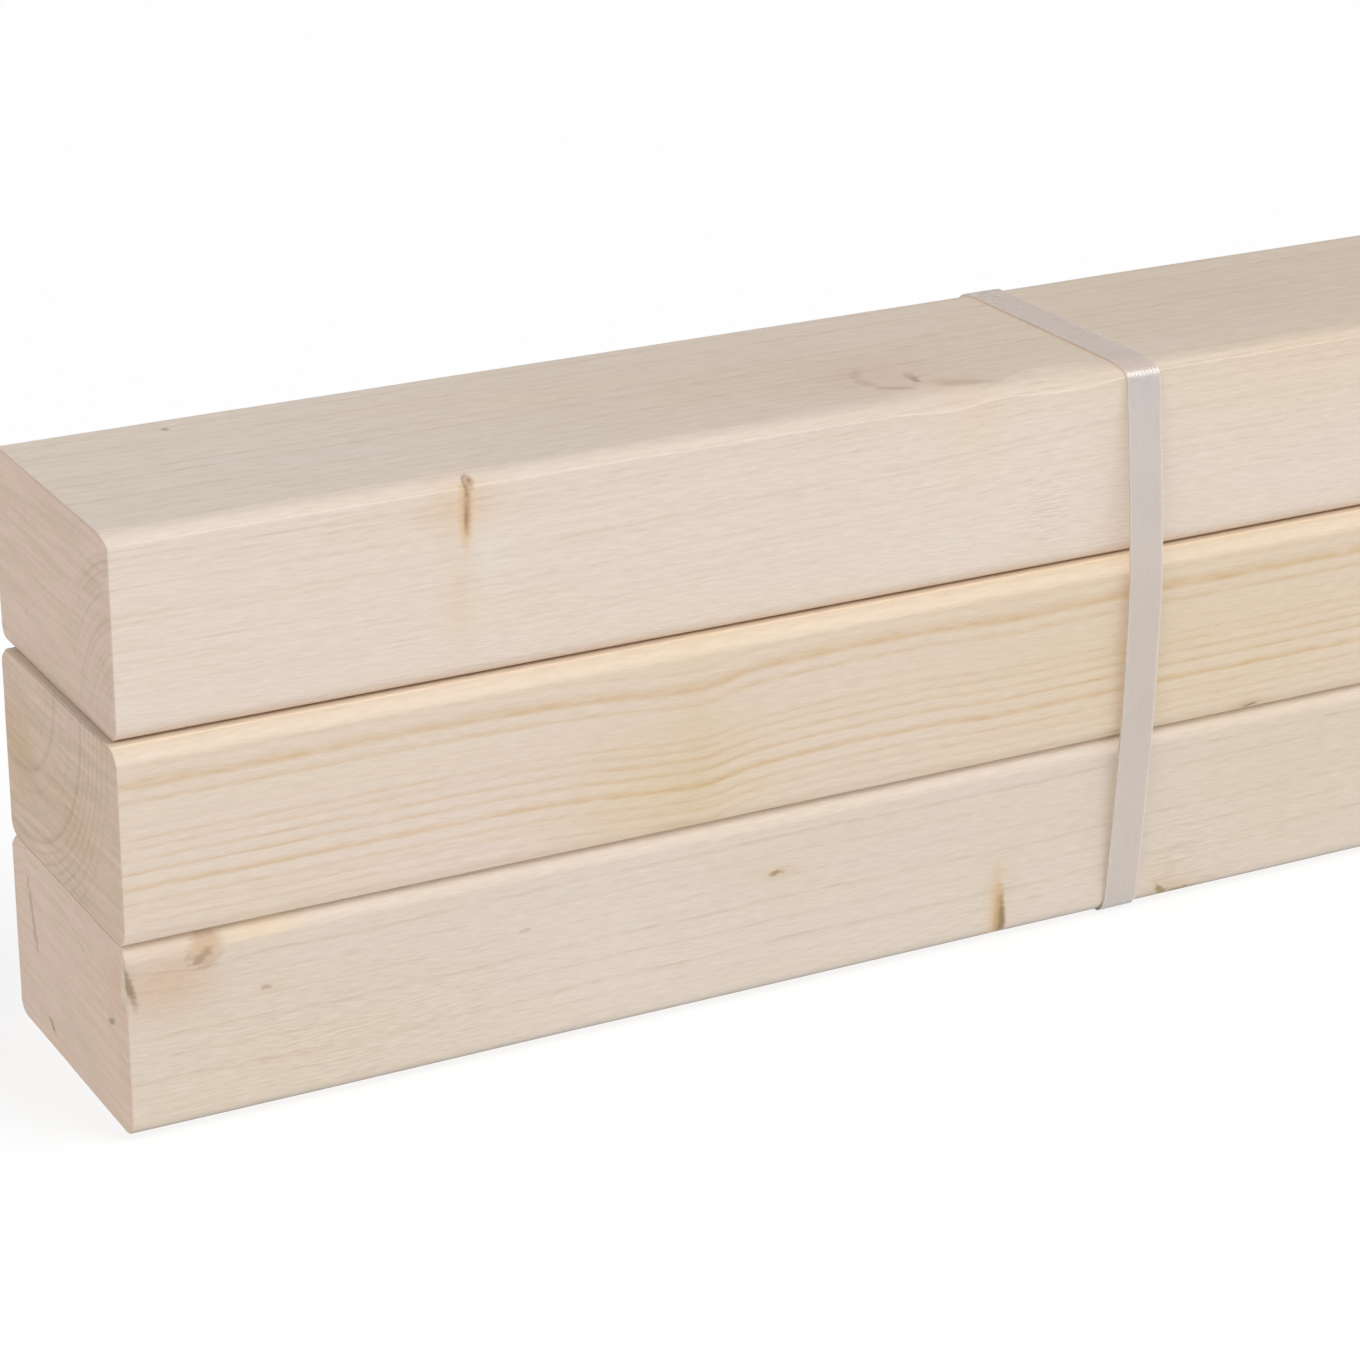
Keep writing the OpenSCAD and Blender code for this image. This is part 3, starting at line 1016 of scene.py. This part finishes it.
def strap_tint(out, height_share):
    """What the wood behind the strap and painted shade multiply its colour by, at each step of the loop.

    On top, where the strap lies on the wood, its tone is warmer. Down the front it turns duller, and
    under the stack it is painted dark: a painted shade.
    """
    plain = np.array(tone(*STRAP_TONE)[:3])
    on_top = np.clip(out[:, 1], 0, 1) ** 2
    low_front = np.clip(-out[:, 0], 0, 1) ** 2 * np.clip((1 - height_share) / LOW_FRONT_SHARE, 0, 1)
    # Painted shade under the stack
    under = np.clip((-out[:, 1] - UNDER_SHADE_FROM) / UNDER_SHADE_OVER, 0, 1)
    layers = ((STRAP_ON_TOP, on_top), (STRAP_LOW_FRONT, low_front), (STRAP_UNDER_SHADE, under))
    tint = np.ones((len(out), 3))
    for colour, share in layers:
        tint = tint * (1 + share[:, None] * (np.array(tone(*colour)[:3]) / plain - 1))
    return tint


def strap_profile():
    """The strap's section, ribbed outside and smooth inside, as arrays over its points.

    They are the place across the strap, 1 outside and 0 inside, and how deep it lies between two ribs.
    """
    outer = np.linspace(-0.5, 0.5, RIBS * RIB_STEPS + 1)
    inner = np.linspace(0.5, -0.5, INNER_STEPS)
    across = np.concatenate([outer, inner]) * STRAP_WIDTH * STRAP_WIDTH_SHARE
    outside = np.concatenate([np.ones(len(outer)), np.zeros(INNER_STEPS)])
    groove = 0.5 - 0.5 * np.cos(2 * np.pi * RIBS * (outer + 0.5))
    return across, outside, np.concatenate([groove, np.zeros(INNER_STEPS)])


def bend_whitening_and_highlight(out, bent, seed):
    """How far the plastic is whitened over the loop and the section, a tooth to each rib: a painted
    highlight at the bends, with the plastic's own whitening from bending.

    On the upright side of a bend each rib's white dies away as its own power of the bending.
    """
    rib = np.minimum(np.arange(RIBS * RIB_STEPS + 1) // RIB_STEPS, RIBS - 1)
    powers = np.random.default_rng(seed).uniform(*WHITE_POWERS, RIBS)
    upright = np.clip((np.abs(out[:, :1]) - UPRIGHT_FROM) / UPRIGHT_OVER, 0, 1)
    upwards = np.clip(out[:, 1:] / UPWARDS_OVER, 0, 1)
    teeth = upright * upwards * bent[:, None] ** powers[rib][None]
    return BEND_WHITE_AND_HIGHLIGHT * np.concatenate([teeth, np.zeros((len(out), INNER_STEPS))], 1)


def make_strap(node, material, slant, seed):
    """A ribbed strap: its section carried round the loop, thicker where its ends lap at the back.

    The slant is how far along the bundle the strap lies off its middle at the foot, and at the top back.
    """
    low, high = (np.array(corner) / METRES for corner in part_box(node))
    middle = (low[0] + high[0]) / 2
    path = taut_loop(middle)
    tangent = np.roll(path, -1, 0) - np.roll(path, 1, 0)
    tangent = tangent / np.linalg.norm(tangent, axis=1, keepdims=True)
    out = np.stack([tangent[:, 1], -tangent[:, 0]], -1)
    height_share = np.clip((path[:, 1] - low[2]) / (high[2] - low[2]), 0, 1)
    facing = np.clip(-out[:, 0], 0, 1)
    bow = FRONT_BOW * facing ** 2 * np.sin(np.pi * height_share) ** BOW_POWER
    back = np.clip(out[:, 0], 0, 1)
    past_lap = np.abs(path[:, 1] - LAP_MIDDLE) - WELD_LAP / 2
    lap = back * (1 - np.clip(past_lap / LAP_EDGE, 0, 1))
    thickness = STRAP_THICKNESS * (1 + lap)
    path = path + (bow + STRAP_CLEARANCE * np.clip(1 + out[:, 1], 0, 1))[:, None] * out
    width, outside, groove = strap_profile()
    bent = np.clip((2 * np.abs(out[:, 0] * out[:, 1]) - SLIGHT_BEND) / (1 - SLIGHT_BEND), 0, 1)
    rib_height = RIB_HEIGHT * (1 + BEND_RIBS * bent)
    depth = thickness[:, None] * outside[None] - rib_height[:, None] * groove[None]
    travelled = np.arange(len(path)) * LOOP_STEP
    sway = STRAP_SWAY * slow_waves(seed, travelled, len(path) * LOOP_STEP, STRAP_SWAY_COUNT)
    at_foot, at_back = slant
    at_top = at_back * height_share * (path[:, 0] - SLANT_FROM) / SLANT_OVER
    sideways = at_foot * (1 - height_share) + at_top + sway
    along = middle + width[None] + sideways[:, None]
    across_up = path[:, None, :] + depth[..., None] * out[:, None, :]
    rows = np.concatenate([along[..., None], across_up], -1)
    count, columns = rows.shape[:2]
    quads = grid_quads(count, columns, True)[:, ::-1]
    no_triangles = np.zeros((0, 3), int)
    points = rows.reshape(-1, 3) * METRES
    piece = mesh_piece(node + "_band", points, quads, no_triangles, material, STRAP_SHARP_DEGREES)
    at_edge = np.abs(width) == np.abs(width).max()
    # Painted highlight at the bends and painted shade along the edges
    lighter = 1 + bend_whitening_and_highlight(out, bent, seed) - EDGE_PAINTED_SHADE * at_edge
    tint = strap_tint(out, height_share)[:, None, :] * lighter[..., None]
    lay_attribute(piece, "strap_tint", "FLOAT_VECTOR", "vector", tint)
    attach(piece, BODY)
    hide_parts(node)
    # The milky strap lets the lamps' light through to the wood
    piece.visible_shadow = False


def strap_plastic():
    """Milky polypropylene that lets light through: cool grey, with faint streaks and a soft gloss."""
    material, paint, shader = new_material("strap_plastic", {
        "IOR": 1.49, "Specular IOR Level": 0.9, "Subsurface Weight": 1.0, "Subsurface Scale": 0.0012,
        "Subsurface Radius": (1.0, 0.97, 0.93),
    })
    place = paint.node("TexCoord", None, None, "Object") * (1 / METRES)
    streak = (place * STREAK).noise(2.0)
    cloud = (place * PLASTIC_CLOUD).noise(1.0)
    share = streak * STREAK_SHARE + cloud * PLASTIC_CLOUD_SHARE + PLASTIC_MEAN
    lighter = tone(*[value + TONE_STEP for value in STRAP_TONE])
    darker = tone(*[value - TONE_STEP for value in STRAP_TONE])
    tint = paint.attribute("strap_tint", "Vector")
    colour = mixed(paint.tree, 1.0, mixed(paint.tree, share, darker, lighter), tint, "MULTIPLY")
    roughness = PLASTIC_ROUGHNESS + streak * STREAK_ROUGHNESS
    bump = paint.node("Bump", None, {**PLASTIC_BUMP, "Height": streak}, "Normal")
    feed(shader, colour, roughness, bump)
    return material


# The stage

FLOOR_SIZE = 60.0
KEY_STRENGTH = 1.76
KEY_ANGLE = 38.0
KEY_WAY = Vector((-0.42, 0.44, -0.79))
FILL_STRENGTH = 0.75
FILL_ANGLE = 70.0
FILL_WAY = Vector((0.9, 0.3, -0.3))
SKY = 0.36
CAMERA_FROM_CORNER = (-265.2, -744.5, 424.1)
CAMERA_HEADING = 28.05
CAMERA_TILT = 22.10
CAMERA_ROLL = 0.286
CAMERA_LENS = 109.78
CAMERA_SENSOR = 36.0


def make_floor():
    """A wide pale floor at the height that the bundle lies on."""
    half = FLOOR_SIZE / 2
    mesh = bpy.data.meshes.new("floor")
    corners = [(-half, -half, 0), (half, -half, 0), (half, half, 0), (-half, half, 0)]
    mesh.from_pydata(corners, [], [(0, 1, 2, 3)])
    constants = {
        "Base Color": (0.2, 0.2, 0.2, 1), "Roughness": 0.9, "Specular IOR Level": 0.1,
        "Emission Color": (1, 1, 1, 1), "Emission Strength": 0.81,
    }
    mesh.materials.append(new_material("pale_floor", constants)[0])
    floor = bpy.data.objects.new("floor", mesh)
    bpy.context.scene.collection.objects.link(floor)


def make_lamp(name, strength, degrees, way):
    """A lamp far away, so wide that its shadows are soft."""
    lamp = bpy.data.lights.new(name, "SUN")
    lamp.energy = strength
    lamp.angle = math.radians(degrees)
    placed = bpy.data.objects.new(name, lamp)
    placed.rotation_mode = "QUATERNION"
    placed.rotation_quaternion = way.to_track_quat("-Z", "Y")
    bpy.context.scene.collection.objects.link(placed)


def make_light():
    """A soft key from the front, the right and above, a wide fill from the near end, and a pale room."""
    make_lamp("key", KEY_STRENGTH, KEY_ANGLE, KEY_WAY)
    make_lamp("fill", FILL_STRENGTH, FILL_ANGLE, FILL_WAY)
    world = bpy.data.worlds.new("room")
    world.use_nodes = True
    world.node_tree.nodes["Background"].inputs["Color"].default_value = (1, 1, 1, 1)
    world.node_tree.nodes["Background"].inputs["Strength"].default_value = SKY
    bpy.context.scene.world = world


def make_camera():
    """The camera where the photograph was taken from, looking along its heading and down by its tilt."""
    heading, tilt, roll = (math.radians(a) for a in (CAMERA_HEADING, CAMERA_TILT, CAMERA_ROLL))
    flat = math.cos(tilt)
    forward = Vector((math.sin(heading) * flat, math.cos(heading) * flat, -math.sin(tilt)))
    level = Vector((math.cos(heading), -math.sin(heading), 0))
    upright = level.cross(forward)
    right = level * math.cos(roll) + upright * math.sin(roll)
    top = upright * math.cos(roll) - level * math.sin(roll)
    lens = bpy.data.cameras.new("camera")
    lens.lens = CAMERA_LENS
    lens.sensor_width = CAMERA_SENSOR
    lens.sensor_fit = "HORIZONTAL"
    camera = bpy.data.objects.new("camera", lens)
    turned = Matrix((right, top, -forward)).transposed().to_4x4()
    place = corner_of("batten_bottom") + np.array(CAMERA_FROM_CORNER) * METRES
    camera.matrix_world = Matrix.Translation(place) @ turned
    bpy.context.scene.collection.objects.link(camera)
    bpy.context.scene.camera = camera


for node, wood in WOODS.items():
    make_batten(node, wood)
plastic = strap_plastic()
make_strap("strap_near", plastic, slant=(-1.6, -2.0), seed=5)
make_strap("strap_far", plastic, slant=(1.1, 0.8), seed=8)
make_floor()
make_light()
make_camera()
bpy.context.scene.view_settings.view_transform = "Standard"
